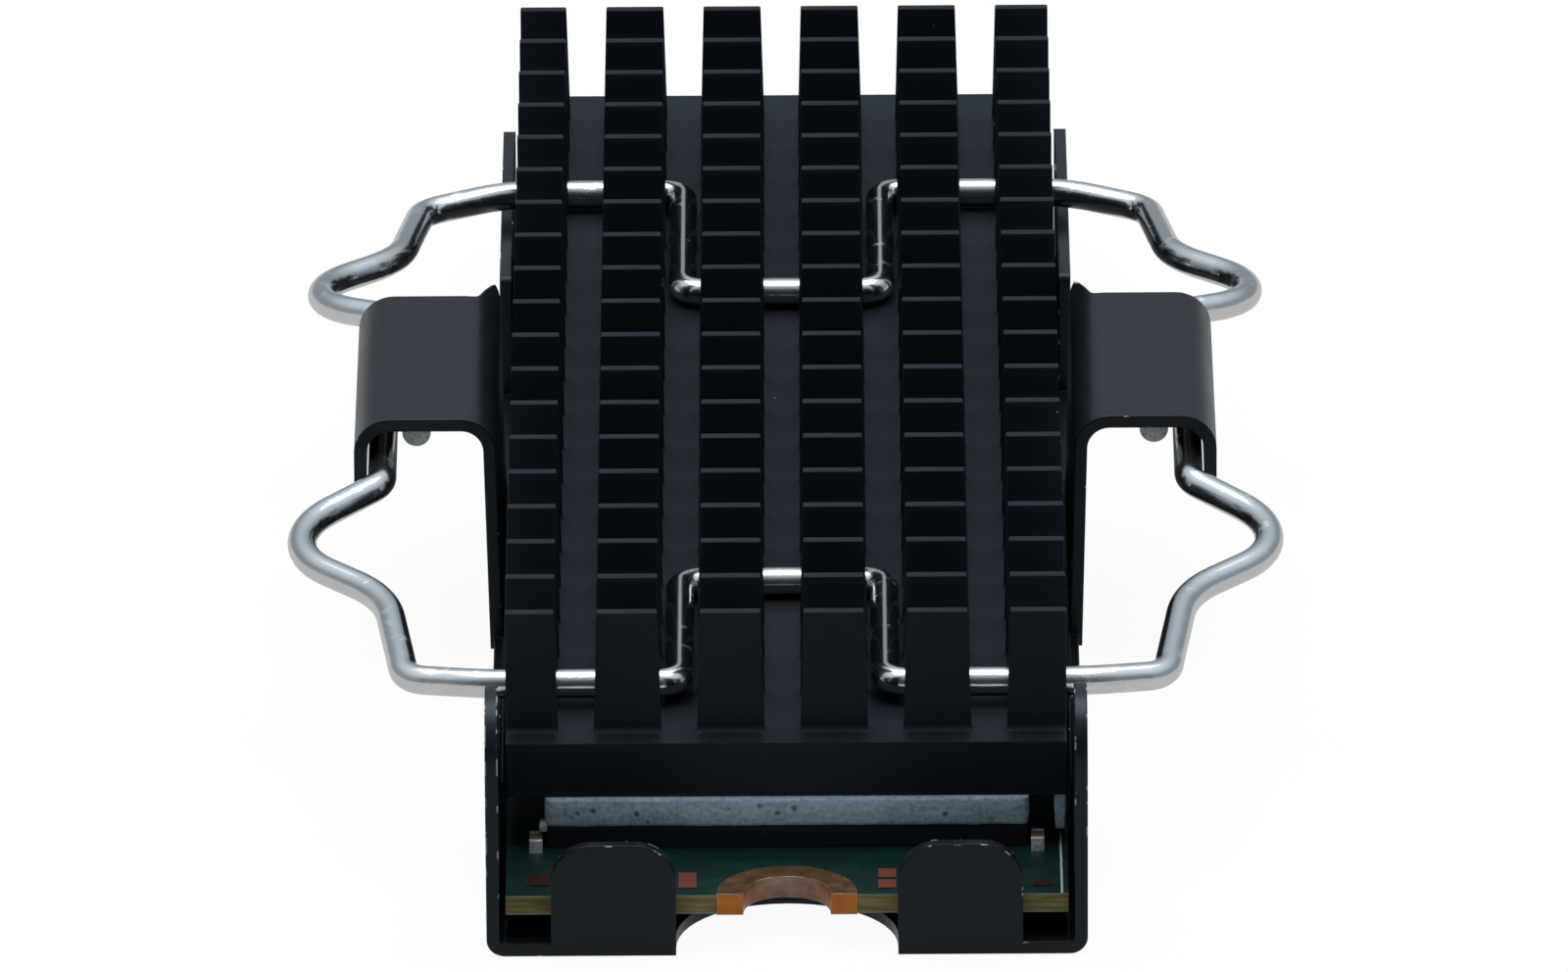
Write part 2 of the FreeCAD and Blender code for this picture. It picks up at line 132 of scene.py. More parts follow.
def relief(tree, height, depth, over=None):
    """A surface raised by the height, over another surface if one is given."""
    bump = add(tree, "Bump", {"Height": height, "Distance": depth, "Strength": 1.0})
    fill(bump, {"Normal": over} if over else {})
    return bump.outputs["Normal"]


def rounded_edges(tree, radius):
    """A surface that turns smoothly over the piece's sharp edges."""
    return add(tree, "Bevel", {"Radius": radius}, samples=8).outputs["Normal"]


def along_edges(tree, rounded, start, end):
    """One along the edges of a rounded surface, where it leaves the piece's own faces."""
    flat = add(tree, "NewGeometry").outputs["Normal"]
    agreement = add(tree, "VectorMath", {0: rounded, 1: flat}, operation="DOT_PRODUCT").outputs["Value"]
    return ramp(tree, agreement, start, end)


def dress(names, material):
    """Give CAD nodes their finish."""
    for name in names:
        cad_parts[name].material_slots[0].material = material


tray_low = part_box("carrier_tray")[0]
sheet_edge_round, paint_chip_size, wear_size = 0.12 * mm, 0.6 * mm, 6 * mm
peel_size, peel_depth = 0.35 * mm, 0.004 * mm
fresh_black, worn_black = (0.006, 0.0085, 0.0115, 1), (0.0085, 0.0112, 0.0145, 1)
bare_steel = (0.72, 0.71, 0.68, 1)
tray_paint, tree, shader = new_finish("satin_black_paint")
place = axes(tree, "TexCoord", "Object")
near_front = ramp(tree, place["Y"], tray_low.y + 1 * mm, tray_low.y + 9 * mm, 1, 0)
raised = ramp(tree, place["Z"], 3 * mm, 4.5 * mm, -0.03, 0.05)
left_post = ramp(tree, place["X"], -9 * mm, -11 * mm, 0, 0.045)
knocks = sums(tree, "MULTIPLY", near_front, sums(tree, "ADD", raised, left_post))
knocks = sums(tree, "ADD", cloud(tree, paint_chip_size, 6), knocks)
rounded = rounded_edges(tree, sheet_edge_round)
chips = sums(tree, "MULTIPLY", along_edges(tree, rounded, 0.96, 0.93), ramp(tree, knocks, 0.63, 0.645))
wear = cloud(tree, wear_size, 4)
black = blend_colours(tree, wear, fresh_black, worn_black)
fill(shader, {
    "Base Color": blend_colours(tree, chips, black, bare_steel),
    "Roughness": spread(tree, wear, 0.28, 0.37),
    "Specular IOR Level": 0.28,
    "Specular Tint": (0.8, 0.92, 1, 1),
    "Normal": relief(tree, cloud(tree, peel_size, 3), peel_depth, rounded),
})
dress(["carrier_tray"], tray_paint)


# Thermal pads
# Soft grey silicone filled with ceramic powder, cut from sheet and squeezed under and over the card. The sides
# swell a little and are pitted where grains of the filling tore out. Two scraps of the upper pad tore off: a
# strip that clings under the heat sink's right-hand edge, and a crumb at the pad's left front corner.

def round_rectangle(low, high, radius, step):
    """Points along a rectangle with rounded corners, about a step apart, each with its way outwards."""
    corner_steps = 4
    points = []
    middles = [
        (high.x - radius, high.y - radius, 0), (low.x + radius, high.y - radius, 1),
        (low.x + radius, low.y + radius, 2), (high.x - radius, low.y + radius, 3),
    ]
    for corner, (x, y, quarter) in enumerate(middles):
        for turn in range(corner_steps + 1):
            angle = (quarter + turn / corner_steps) * math.pi / 2
            out = Vector((math.cos(angle), math.sin(angle), 0))
            points.append((Vector((x, y, 0)) + out * radius, out))
        start, out = points[-1]
        x, y, quarter = middles[(corner + 1) % 4]
        end = Vector((x, y, 0)) + out * radius
        count = int((end - start).length / step)
        points += [(start.lerp(end, i / count), out) for i in range(1, count)]
    return points


def as_mesh(name, shape):
    """A named mesh of a finished shape."""
    mesh = bpy.data.meshes.new(name)
    shape.to_mesh(mesh)
    shape.free()
    return mesh


def squeezed_pad(name, low, high, swell, ragged, corner_round=0.3 * mm):
    """A slab with swollen, slightly torn sides between flat faces."""
    layers, step = 9, 0.18 * mm
    broad_tear, fine_tear, fine_share = 0.9 * mm, 0.3 * mm, 0.6
    slab = bmesh.new()
    rings = []
    for layer in range(layers):
        share = layer / (layers - 1)
        level = low.z + share * (high.z - low.z)
        belly = swell * (1 - (2 * share - 1) ** 2)
        ring = []
        for point, out in round_rectangle(low, high, corner_round, step):
            where = point + Vector((0, 0, level))
            tear = noise.noise(where / broad_tear) + fine_share * noise.noise(where / fine_tear)
            corner = point + out * (belly + ragged * (tear - 1))
            corner.z = level
            ring.append(slab.verts.new(corner))
        rings.append(ring)
    for lower, upper in zip(rings, rings[1:]):
        for i in range(len(lower)):
            nxt = (i + 1) % len(lower)
            slab.faces.new((lower[i], lower[nxt], upper[nxt], upper[i])).smooth = True
    slab.faces.new(rings[-1])
    slab.faces.new(rings[0][::-1])
    return as_mesh(name, slab)


def place_piece(name, mesh, material):
    """Link a piece to the scene, fixed to the part."""
    mesh.materials.append(material)
    piece = bpy.data.objects.new(name, mesh)
    bpy.context.scene.collection.objects.link(piece)
    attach(piece, "root")
    return piece


grain_size, torn_size, powder_size, patch_size = 0.5 * mm, 1.1 * mm, 0.22 * mm, 1.6 * mm
pit_depth = 0.05 * mm
dark_grey, pale_grey = (0.4, 0.48, 0.56, 1), (0.47, 0.56, 0.65, 1)
pale_powder, dark_powder, pit_shade = (0.57, 0.65, 0.73, 1), (0.3, 0.37, 0.45, 1), (0.13, 0.16, 0.2, 1)
pad_silicone, tree, shader = new_finish("filled_silicone")
place = add(tree, "TexCoord").outputs["Object"]
grains = add(tree, "TexVoronoi", {"Vector": place, "Scale": 1 / grain_size, "Randomness": 1.0})
torn_out = ramp(tree, cloud(tree, torn_size, 2), 0.5, 0.6)
pits = sums(tree, "MULTIPLY", ramp(tree, grains.outputs["Distance"], 0.3, 0.12), torn_out)
powder = cloud(tree, powder_size, 5)
grey = blend_colours(tree, ramp(tree, cloud(tree, patch_size, 4), 0.35, 0.65), dark_grey, pale_grey)
grey = blend_colours(tree, ramp(tree, powder, 0.52, 0.7), grey, pale_powder)
grey = blend_colours(tree, ramp(tree, powder, 0.47, 0.33), grey, dark_powder)
fill(shader, {
    "Base Color": blend_colours(tree, pits, grey, pit_shade),
    "Roughness": spread(tree, powder, 0.75, 0.95),
    "Specular IOR Level": 0.25,
    "Normal": relief(tree, sums(tree, "SUBTRACT", powder, pits), pit_depth),
})
pad_tear = 0.04 * mm
for node_name, name, swell in (
    ("bottom_thermal_pad", "under_card_pad", 0.12 * mm),
    ("top_thermal_pad", "over_chip_pad", 0.05 * mm),
):
    low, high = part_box(node_name)
    pad = place_piece(name, squeezed_pad(name, low, high, swell, pad_tear), pad_silicone)
    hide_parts(node_name)
sink_low, sink_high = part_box("heat_sink")
pad_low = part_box("top_thermal_pad")[0]
scrap_swell, scrap_tear = 0.04 * mm, 0.05 * mm
strip_low = Vector((sink_high.x - 0.5 * mm, sink_low.y + 0.05 * mm, sink_low.z - 1.5 * mm))
strip_high = Vector((sink_high.x - 0.02 * mm, sink_low.y + 7 * mm, sink_low.z))
crumb_low = Vector((pad_low.x - 0.25 * mm, pad_low.y + 0.1 * mm, pad_low.z - 0.28 * mm))
crumb_high = Vector((pad_low.x + 0.12 * mm, pad_low.y + 0.6 * mm, pad_low.z + 0.12 * mm))
for name, low, high, corner_round in (
    ("clinging_pad_strip", strip_low, strip_high, 0.12 * mm),
    ("torn_pad_crumb", crumb_low, crumb_high, 0.1 * mm),
):
    scrap_mesh = squeezed_pad(name, low, high, scrap_swell, scrap_tear, corner_round)
    scrap = place_piece(name, scrap_mesh, pad_silicone)


# Circuit board
# Glass-epoxy laminate under dark green solder resist, with a thin copper pour that shows through it. The routed
# edge is bare tan laminate between the two skins of resist.

board_low, board_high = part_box("circuit_board")
pour_size, ply_size, pour_depth = 2.2 * mm, 0.6 * mm, 0.012 * mm
bare_green, green_on_copper = (0.0015, 0.02, 0.016, 1), (0.002, 0.027, 0.0215, 1)
dark_tan, pale_tan, skin_green = (0.13, 0.082, 0.018, 1), (0.31, 0.235, 0.09, 1), (0.2, 0.27, 0.16, 1)
board_laminate, tree, shader = new_finish("solder_resist_on_laminate")
normal = axes(tree, "NewGeometry", "True Normal")
upright = ramp(tree, sums(tree, "MULTIPLY", normal["Z"], normal["Z"]), 0.6, 0.4)
place = axes(tree, "TexCoord", "Object")
up_edge = ramp(tree, place["Z"], board_low.z, board_high.z)
pour = ramp(tree, cloud(tree, pour_size, 1, (1, 1.4, 1)), 0.5, 0.53)
resist = blend_colours(tree, pour, bare_green, green_on_copper)
plies = cloud(tree, ply_size, 4, (0.4, 0.4, 6))
tan = blend_colours(tree, spread(tree, plies), dark_tan, pale_tan)
skins = sums(tree, "MAXIMUM", ramp(tree, up_edge, 0.86, 0.94), ramp(tree, up_edge, 0.12, 0.05))
edge = blend_colours(tree, skins, tan, skin_green)
fill(shader, {
    "Base Color": blend_colours(tree, upright, resist, edge),
    "Roughness": ramp(tree, upright, 0, 1, 0.45, 0.62),
    "Specular IOR Level": 0.22,
    "Normal": relief(tree, sums(tree, "ADD", pour, sums(tree, "MULTIPLY", plies, upright)), pour_depth),
})
dress(["circuit_board"], board_laminate)


# Printed line
# A thin pale line of marking ink beside the board's right-hand edge. It is screened on over the resist, so it
# stands a little proud and wavers slightly.

ink_grain, dull_ink, pale_ink = 0.2 * mm, (0.45, 0.5, 0.47, 1), (0.62, 0.66, 0.62, 1)
line_ink, tree, shader = new_finish("marking_ink")
ink_wear = cloud(tree, ink_grain, 3)
fill(shader, {
    "Base Color": blend_colours(tree, ink_wear, dull_ink, pale_ink),
    "Roughness": spread(tree, ink_wear, 0.5, 0.7),
})
line_middle, line_width, line_thick, line_length = board_high.x - 0.25 * mm, 0.09 * mm, 0.012 * mm, 6 * mm
line_steps, wavers, waver_share = 24, 9, 0.1
ink = bmesh.new()
bmesh.ops.create_grid(ink, x_segments=1, y_segments=line_steps, size=0.5)
for corner in ink.verts:
    waver = waver_share * line_width * noise.noise(Vector((corner.co.y * wavers, 0, 0)))
    corner.co = Vector((
        line_middle + corner.co.x * line_width + waver,
        board_low.y + (corner.co.y + 0.5) * line_length,
        board_high.z,
    ))
skin = bmesh.ops.extrude_face_region(ink, geom=ink.faces[:])
for part in skin["geom"]:
    if isinstance(part, bmesh.types.BMVert):
        part.co.z += line_thick
bmesh.ops.recalc_face_normals(ink, faces=ink.faces[:])
place_piece("printed_line", as_mesh("printed_line", ink), line_ink)


# Mounting ring
# Copper around the screw notch, left bare of resist, carried through the notch and over the board's edge by
# plating. It has browned on its faces, stays orange at the board's edge and pale deep in the notch, and is
# rubbed along its rim, which is also painted lighter there as a painted highlight.

ring_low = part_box("mounting_ring")[0]
tarnish_size, edge_patch_size, rim_round, tarnish_depth = 0.6 * mm, 0.7 * mm, 0.05 * mm, 0.012 * mm
dark_wall, pale_wall = (0.19, 0.105, 0.066, 1), (0.36, 0.24, 0.17, 1)
dark_orange, pale_orange = (0.4, 0.12, 0.015, 1), (0.54, 0.185, 0.03, 1)
dark_brown, pale_brown = (0.145, 0.06, 0.022, 1), (0.235, 0.115, 0.047, 1)
rubbed_copper_and_highlight = (0.8, 0.64, 0.48, 1)
bare_copper, tree, shader = new_finish("bare_copper")
normal = axes(tree, "NewGeometry", "True Normal")
facing_up = ramp(tree, sums(tree, "ABSOLUTE", normal["Z"]), 0.4, 0.6)
place = axes(tree, "TexCoord", "Object")
on_edge = ramp(tree, place["Y"], ring_low.y + 0.06 * mm, ring_low.y + 0.1 * mm, 1, 0)
facing_front = sums(tree, "MULTIPLY", ramp(tree, normal["Y"], -0.985, -0.999), on_edge)
near_edge = ramp(tree, place["Y"], ring_low.y + 1.7 * mm, ring_low.y + 0.5 * mm, 0, 0.85)
tarnish = spread(tree, cloud(tree, tarnish_size, 3))
rounded = rounded_edges(tree, rim_round)
# The pale copper along the rim is partly rubbing and partly a painted highlight on the notch's edge.
lighter_edges = ramp(tree, cloud(tree, edge_patch_size, 3), 0.4, 0.6)
lighter_edges = sums(tree, "MULTIPLY", along_edges(tree, rounded, 0.98, 0.85), lighter_edges)
wall = blend_colours(tree, tarnish, dark_wall, pale_wall)
edge = blend_colours(tree, tarnish, dark_orange, pale_orange)
face = blend_colours(tree, tarnish, dark_brown, pale_brown)
side = blend_colours(tree, sums(tree, "MAXIMUM", facing_front, near_edge), wall, edge)
fill(shader, {
    "Base Color": blend_colours(tree, lighter_edges, blend_colours(tree, facing_up, side, face), rubbed_copper_and_highlight),
    "Metallic": 0.55,
    "Roughness": ramp(tree, tarnish, 0, 1, 0.26, 0.42),
    "Normal": relief(tree, tarnish, tarnish_depth, rounded),
})
dress(["mounting_ring"], bare_copper)


# Copper lands
# Small squares of etched copper on the board's front margin, for parts that this card is built without. Those
# near the middle are bare and pink. The outer ones are under the resist, which darkens them.

etching_size, etching_depth = 0.3 * mm, 0.01 * mm
dark_pink, pale_pink = (0.155, 0.044, 0.028, 1), (0.22, 0.064, 0.039, 1)
dark_red, pale_red = (0.03, 0.007, 0.006, 1), (0.05, 0.01, 0.008, 1)
land_copper, tree, shader = new_finish("etched_copper")
place = axes(tree, "TexCoord", "Object")
covered = ramp(tree, sums(tree, "ABSOLUTE", place["X"]), 6 * mm, 7 * mm)
etching = cloud(tree, etching_size, 4)
pink = blend_colours(tree, etching, dark_pink, pale_pink)
dull = blend_colours(tree, etching, dark_red, pale_red)
fill(shader, {
    "Base Color": blend_colours(tree, covered, pink, dull),
    "Metallic": 0.2,
    "Specular IOR Level": 0.22,
    "Roughness": spread(tree, etching, 0.4, 0.55),
    "Normal": relief(tree, etching, etching_depth),
})
dress(["copper_lands"], land_copper)


# Edge contacts
# Strips of copper on both faces of the tongue, flashed with gold over nickel so that they wipe clean in the
# socket. The wiping has left fine scores along them.

score_width, score_depth, stain_size = 0.05 * mm, 0.004 * mm, 1.5 * mm
dark_gold, pale_gold = (0.68, 0.44, 0.13, 1), (0.8, 0.57, 0.22, 1)
gold_flash, tree, shader = new_finish("gold_flash")
scores = cloud(tree, score_width, 3, (1, 0.02, 1))
fill(shader, {
    "Base Color": blend_colours(tree, cloud(tree, stain_size, 3), dark_gold, pale_gold),
    "Metallic": 1.0,
    "Roughness": spread(tree, scores, 0.18, 0.34),
    "Normal": relief(tree, scores, score_depth),
})
dress(["edge_contacts_top", "edge_contacts_bottom"], gold_flash)


# Chips
# Memory, controller and power chips: blocks of black moulding compound filled with silica, so the skin is dull
# and finely grained. They are soldered flat to the board.

def ease_edges(piece, width):
    """Join the solid's split corners, take off its sharp edges and keep its flat faces flat."""
    joined = piece.modifiers.new("joined_corners", "WELD")
    joined.merge_threshold = 1e-6
    eased = piece.modifiers.new("eased_edges", "BEVEL")
    eased.width = width
    eased.segments = 2
    eased.limit_method = "ANGLE"
    eased.angle_limit = math.radians(40)
    piece.modifiers.new("flat_faces", "WEIGHTED_NORMAL")


silica_size, silica_depth, chip_edge = 0.08 * mm, 0.01 * mm, 0.04 * mm
dark_moulding, pale_moulding = (0.006, 0.008, 0.012, 1), (0.013, 0.016, 0.022, 1)
moulding, tree, shader = new_finish("moulding_compound")
silica = cloud(tree, silica_size, 4)
fill(shader, {
    "Base Color": blend_colours(tree, silica, dark_moulding, pale_moulding),
    "Roughness": spread(tree, silica, 0.55, 0.75),
    "Specular IOR Level": 0.3,
    "Normal": relief(tree, silica, silica_depth),
})
chip_names = ["front_flash_chip", "second_flash_chip", "working_memory_chip", "controller_chip", "power_chip"]
dress(chip_names, moulding)
for name in chip_names:
    ease_edges(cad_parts[name], chip_edge)


# Small soldered parts
# Capacitors, resistors and inductors, each a fired or moulded body held to the board by a metal end at each
# side, with the solder drawn up against it.

def body_finish(name, dark, pale, rough):
    """A finely speckled, slightly uneven finish between two colours."""
    speckle_size, speckle_depth, rough_spread = 0.1 * mm, 0.008 * mm, 0.1
    material, tree, shader = new_finish(name)
    speckle = cloud(tree, speckle_size, 3)
    fill(shader, {
        "Base Color": blend_colours(tree, speckle, dark, pale),
        "Roughness": spread(tree, speckle, rough - rough_spread, rough + rough_spread),
        "Normal": relief(tree, speckle, speckle_depth),
    })
    return material


def separate_boxes(name):
    """Lowest and highest corner of each separate solid in a CAD node."""
    solids = bmesh.new()
    solids.from_mesh(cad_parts[name].data)
    bmesh.ops.remove_doubles(solids, verts=solids.verts[:], dist=1e-7)
    waiting = set(solids.verts)
    boxes = []
    while waiting:
        reached = [waiting.pop()]
        for corner in reached:
            near = {edge.other_vert(corner) for edge in corner.link_edges} & waiting
            waiting -= near
            reached += near
        boxes.append([
            Vector([pick(corner.co[axis] for corner in reached) for axis in range(3)]) for pick in (min, max)
        ])
    solids.free()
    return boxes


wrinkle_size, wrinkle_depth = 0.15 * mm, 0.05 * mm
dull_tin, bright_tin = (0.78, 0.78, 0.76, 1), (0.94, 0.94, 0.92, 1)
tinned_solder, tree, shader = new_finish("tinned_solder")
wrinkle = cloud(tree, wrinkle_size, 4)
fill(shader, {
    "Base Color": blend_colours(tree, wrinkle, dull_tin, bright_tin),
    "Metallic": 0.6,
    "Roughness": spread(tree, wrinkle, 0.25, 0.45),
    "Normal": relief(tree, wrinkle, wrinkle_depth),
})


def metal_ends(name, along):
    """A cap with a slope of solder at both ends of each solid, in one piece."""
    across = 1 - along
    cap, proud, foot, climb, cap_edge = 0.22 * mm, 0.012 * mm, 0.16 * mm, 0.7, 0.02 * mm
    ends = bmesh.new()
    for low, high in separate_boxes(name):
        for way, end in ((-1, low[along]), (1, high[along])):
            profile = [
                (end - way * cap, low.z), (end + way * foot, low.z),
                (end + way * proud, low.z + climb * (high.z - low.z)),
                (end + way * proud, high.z + proud), (end - way * cap, high.z + proud),
            ]
            sides = []
            for reach in (low[across] - proud, high[across] + proud):
                ring = []
                for run, level in profile:
                    corner = Vector((0, 0, level))
                    corner[along], corner[across] = run, reach
                    ring.append(ends.verts.new(corner))
                sides.append(ring)
            ends.faces.new(sides[0])
            ends.faces.new(sides[1][::-1])
            for i in range(len(profile)):
                nxt = (i + 1) % len(profile)
                ends.faces.new((sides[0][i], sides[1][i], sides[1][nxt], sides[0][nxt]))
    bmesh.ops.recalc_face_normals(ends, faces=ends.faces[:])
    piece = place_piece(f"{name}_ends", as_mesh(f"{name}_ends", ends), tinned_solder)
    ease_edges(piece, cap_edge)


# The capacitors' tan ceramic is darkened towards brown as painted shade, over the ceramic's own tan.
for name, finish_name, dark, pale, rough in (
    ("ceramic_capacitors", "shaded_tan_ceramic", (0.1, 0.07, 0.045, 1), (0.17, 0.125, 0.08, 1), 0.45),
    ("resistors", "glazed_film", (0.008, 0.008, 0.01, 1), (0.02, 0.02, 0.024, 1), 0.35),
    ("power_inductors", "ferrite", (0.03, 0.03, 0.033, 1), (0.06, 0.06, 0.065, 1), 0.7),
    ("holdup_capacitors", "yellow_case", (0.45, 0.27, 0.04, 1), (0.55, 0.35, 0.07, 1), 0.5),
):
    dress([name], body_finish(finish_name, dark, pale, rough))
across_card, along_card = 0, 1
for name, along, slot in (
    ("ceramic_capacitors", along_card, "ceramic"), ("resistors", across_card, "resistor_body"),
    ("power_inductors", across_card, "ferrite"), ("holdup_capacitors", across_card, "tantalum"),
):
    metal_ends(name, along)


# Clock crystal
# A thin plated steel can, seam-welded over the quartz blank that keeps the controller's time. It is soldered to
# the board by its base.

brush_width, brush_depth, can_edge = 0.04 * mm, 0.004 * mm, 0.08 * mm
dull_plating, bright_plating = (0.55, 0.54, 0.5, 1), (0.68, 0.67, 0.63, 1)
crystal_can, tree, shader = new_finish("plated_can")
brushing = cloud(tree, brush_width, 3, (0.05, 1, 1))
fill(shader, {
    "Base Color": blend_colours(tree, brushing, dull_plating, bright_plating),
    "Metallic": 1.0,
    "Roughness": spread(tree, brushing, 0.25, 0.4),
    "Normal": relief(tree, brushing, brush_depth),
})
dress(["clock_crystal"], crystal_can)
ease_edges(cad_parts["clock_crystal"], can_edge)


# Heat sink
# One block of aluminium with thin fin ribs across it, sawn lengthwise into a grid of upright fins, then dyed
# black in the anodising bath. The saw and the cutter left faint lines, the fins' edges are slightly eased,
# and a little pale dust has settled on it.

saw_line_width, saw_line_depth = 0.05 * mm, 0.0015 * mm
dye_size, corner_round, edge_patch_size, fin_edge = 4 * mm, 0.06 * mm, 0.9 * mm, 0.05 * mm
dust_spacing, largest_mote, mote_fade = 2.2 * mm, 0.034, 0.004
deep_dye, thin_dye = (0.0132, 0.0158, 0.0205, 1), (0.0155, 0.0184, 0.0238, 1)
rubbed_dye, dust_grey = (0.05, 0.052, 0.055, 1), (0.3, 0.32, 0.33, 1)
black_anodise, tree, shader = new_finish("black_anodise")
saw_lines = cloud(tree, saw_line_width, 2, (1, 0.05, 0.05))
corners = along_edges(tree, rounded_edges(tree, corner_round), 0.99, 0.86)
lighter_edges = sums(tree, "MULTIPLY", corners, ramp(tree, cloud(tree, edge_patch_size, 3), 0.5, 0.75))
black = blend_colours(tree, cloud(tree, dye_size, 3), deep_dye, thin_dye)
black = blend_colours(tree, lighter_edges, black, rubbed_dye)
place = add(tree, "TexCoord").outputs["Object"]
motes = add(tree, "TexVoronoi", {"Vector": place, "Scale": 1 / dust_spacing, "Randomness": 1.0}).outputs
draw = add(tree, "SeparateXYZ", {"Vector": motes["Color"]}).outputs["X"]
mote_size = ramp(tree, draw, 0.55, 1, 0, largest_mote)
dust = ramp(tree, sums(tree, "SUBTRACT", mote_size, motes["Distance"]), 0, mote_fade)
fill(shader, {
    "Base Color": blend_colours(tree, dust, black, dust_grey),
    "Roughness": spread(tree, saw_lines, 0.44, 0.5),
    "Specular IOR Level": 0.12,
    "Specular Tint": (0.55, 0.8, 1, 1),
    "Normal": relief(tree, saw_lines, saw_line_depth),
})
dress(["heat_sink"], black_anodise)
ease_edges(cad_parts["heat_sink"], fin_edge)


# Spring clips
# Hard-drawn spring wire, bright plated and bent cold round pegs. Drawing left the wire finely uneven, the pegs
# and pliers left rubbed marks on it, and the ends, which lie under the ears, are cut square.

draw_mark_size, tool_mark_size, mark_depth, plating_size = 0.12 * mm, 0.9 * mm, 0.004 * mm, 3 * mm
ear_middle, end_reach, end_fade = tray_low.y + 36.3 * mm, 6.2 * mm, 6 * mm
grey_plating, white_plating = (0.67, 0.68, 0.695, 1), (0.79, 0.795, 0.8, 1)
rubbed_plating = (0.86, 0.865, 0.87, 1)
sheared_dark, sheared_pale = (0.62, 0.62, 0.6, 1), (0.95, 0.95, 0.93, 1)
bright_wire, tree, shader = new_finish("bright_plated_wire")
draw_marks = cloud(tree, draw_mark_size, 4)
normal = axes(tree, "NewGeometry", "True Normal")
place = axes(tree, "TexCoord", "Object")
from_ear = sums(tree, "ABSOLUTE", sums(tree, "SUBTRACT", place["Y"], ear_middle))
end_face = ramp(tree, sums(tree, "ABSOLUTE", normal["Y"]), 0.8, 0.9)
cut_end = sums(tree, "MULTIPLY", end_face, ramp(tree, from_ear, end_reach, end_fade))
tool_marks = ramp(tree, cloud(tree, tool_mark_size, 5), 0.6, 0.72)
bright = blend_colours(tree, cloud(tree, plating_size, 3), grey_plating, white_plating)
bright = blend_colours(tree, tool_marks, bright, rubbed_plating)
sheared = blend_colours(tree, ramp(tree, draw_marks, 0.35, 0.65), sheared_dark, sheared_pale)
fill(shader, {
    "Base Color": blend_colours(tree, cut_end, bright, sheared),
    "Metallic": blend_values(tree, cut_end, 1.0, 0.0),
    "Roughness": blend_values(tree, cut_end, ramp(tree, tool_marks, 0, 1, 0.17, 0.36), 0.5),
    "Normal": relief(tree, sums(tree, "ADD", draw_marks, tool_marks), mark_depth),
})
dress(["front_spring_clip", "rear_spring_clip"], bright_wire)


# Studio
# A pale floor that runs out to white, soft light from a white surround that is dark only on the camera's side,
# and a large soft lamp overhead.

view_height, view_turn, view_roll = math.radians(22.217), math.radians(0.0784), math.radians(-0.3487)
camera_aim, camera_distance = Vector((-0.067, -4.643, 5.206)) * mm, 954.03 * mm
to_camera = Vector((0, -math.cos(view_height), math.sin(view_height)))
white = (1, 1, 1, 1)

floor_reach, floor_gap, smudge_size = 4, 0.05 * mm, 0.2
dark_floor, pale_floor = (0.58, 0.59, 0.6, 1), (0.61, 0.62, 0.63, 1)
floor_finish, tree, shader = new_finish("floor_paint")
rays = add(tree, "LightPath").outputs
seen = sums(tree, "MAXIMUM", rays["Is Camera Ray"], rays["Is Transmission Ray"])
place = axes(tree, "TexCoord", "Object")
mirrored = ramp(tree, place["Y"], -52 * mm, -38 * mm, 0.55, 0.6)
strength = blend_values(tree, rays["Is Glossy Ray"], 1.05, mirrored)
glow = add(tree, "Emission", {"Color": white, "Strength": strength})
matt = add(tree, "BsdfDiffuse", {
    "Color": blend_colours(tree, cloud(tree, smudge_size, 2), dark_floor, pale_floor),
})
shows_white = sums(tree, "MULTIPLY", sums(tree, "MAXIMUM", seen, rays["Is Glossy Ray"]), 0.9)
floor_mix = add(tree, "MixShader", {0: shows_white, 1: matt.outputs[0], 2: glow.outputs[0]})
fill(tree.nodes["Material Output"], {"Surface": floor_mix.outputs[0]})
floor_shape = bmesh.new()
bmesh.ops.create_grid(floor_shape, x_segments=2, y_segments=2, size=floor_reach)
floor_mesh = as_mesh("floor", floor_shape)
floor_mesh.materials.append(floor_finish)
floor = bpy.data.objects.new("floor", floor_mesh)
floor.location.z = solid_box[0].z - floor_gap
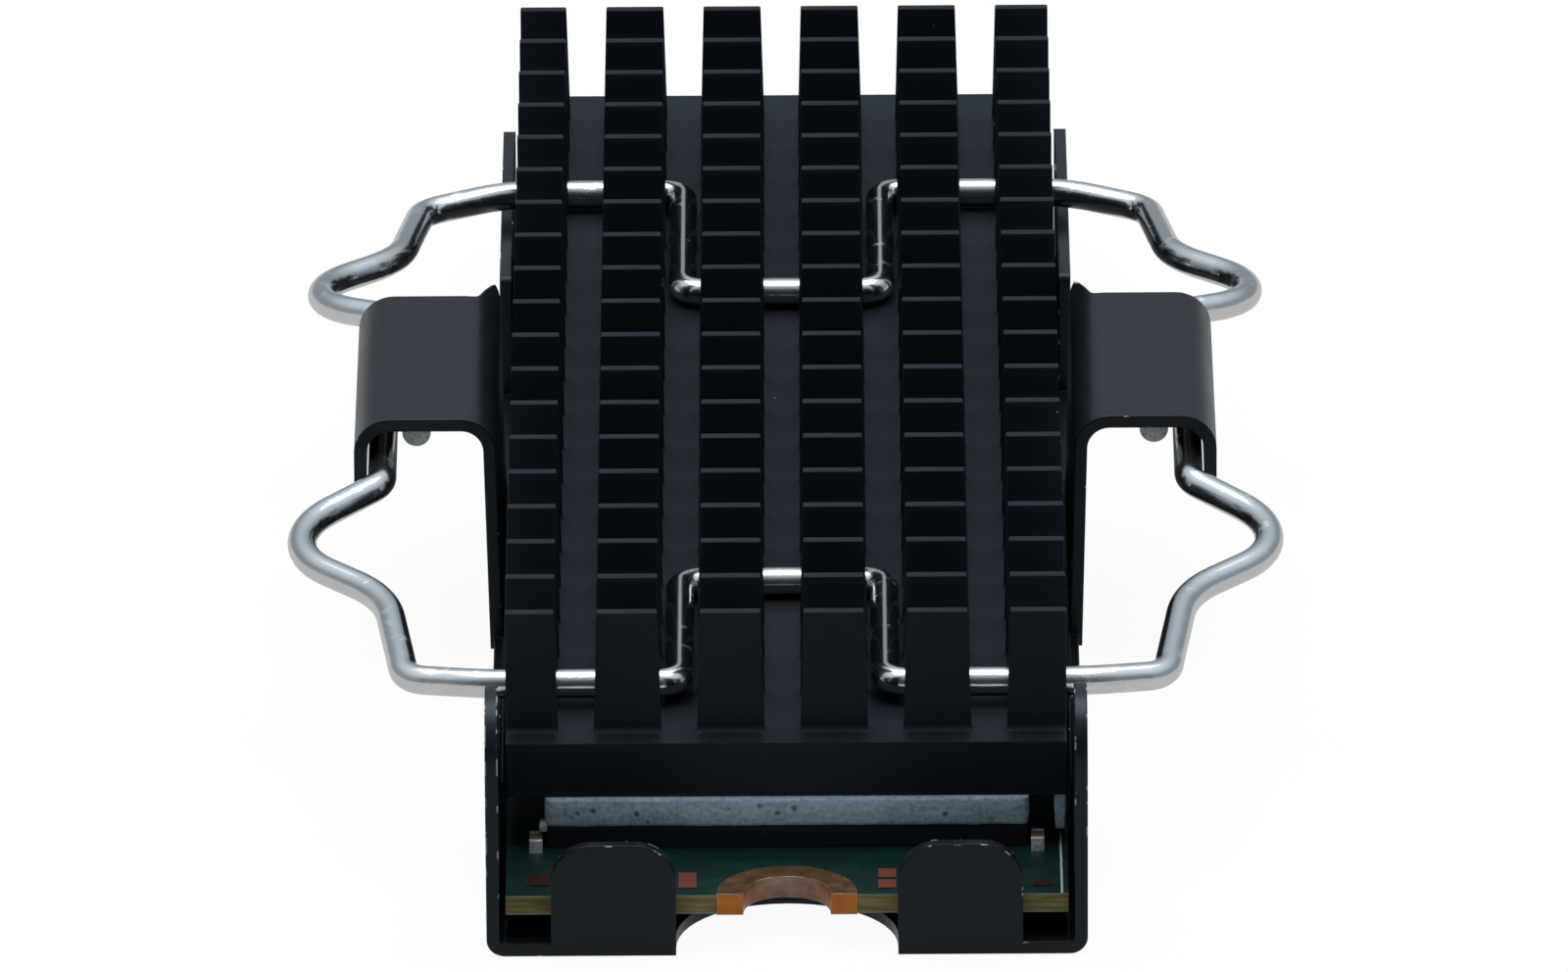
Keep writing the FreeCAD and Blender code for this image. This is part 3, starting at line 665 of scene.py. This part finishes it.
bpy.context.scene.collection.objects.link(floor)

surround_tint = (0.8, 0.91, 1, 1)
surround = bpy.data.worlds.new("white_surround")
surround.use_nodes = True
tree = surround.node_tree
rays = add(tree, "LightPath").outputs
way = add(tree, "TexCoord").outputs["Generated"]
camera_side = add(tree, "VectorMath", {0: way, 1: to_camera}, operation="DOT_PRODUCT").outputs["Value"]
height = add(tree, "SeparateXYZ", {"Vector": way}).outputs["Z"]
lit = sums(tree, "MULTIPLY", ramp(tree, camera_side, 0.1, 0.8, 1, 0.55), 0.55)
overhead = ramp(tree, height, 0.35, 0.85, 0.36, 1)
mirrored = sums(tree, "MULTIPLY", overhead, ramp(tree, camera_side, 0.5, 0.97, 1, 0.12))
seen = sums(tree, "MAXIMUM", rays["Is Camera Ray"], rays["Is Transmission Ray"])
strength = blend_values(tree, seen, blend_values(tree, rays["Is Glossy Ray"], lit, mirrored), 1.0)
fill(tree.nodes["Background"], {
    "Color": blend_colours(tree, seen, surround_tint, white),
    "Strength": strength,
})
bpy.context.scene.world = surround

softbox = bpy.data.lights.new("overhead_softbox", "AREA")
softbox.shape = "RECTANGLE"
softbox.size, softbox.size_y = 0.7, 0.5
softbox.energy = 3.6
softbox.color = (0.93, 0.97, 1)
softbox_stand = bpy.data.objects.new("overhead_softbox", softbox)
softbox_stand.location = (0, 0.12, 0.7)
softbox_stand.rotation_euler = (math.radians(-10), 0, 0)
bpy.context.scene.collection.objects.link(softbox_stand)

lens = bpy.data.cameras.new("camera")
lens.sensor_fit = "HORIZONTAL"
lens.sensor_width = 36
lens.lens = 542.2
camera = bpy.data.objects.new("camera", lens)
turned = Matrix.Rotation(view_turn, 4, "Z") @ Matrix.Rotation(math.pi / 2 - view_height, 4, "X")
turned = turned @ Matrix.Rotation(view_roll, 4, "Z")
camera.matrix_world = Matrix.Translation(camera_aim + turned @ Vector((0, 0, camera_distance))) @ turned
bpy.context.scene.collection.objects.link(camera)
bpy.context.scene.camera = camera
bpy.context.scene.view_settings.view_transform = "Standard"
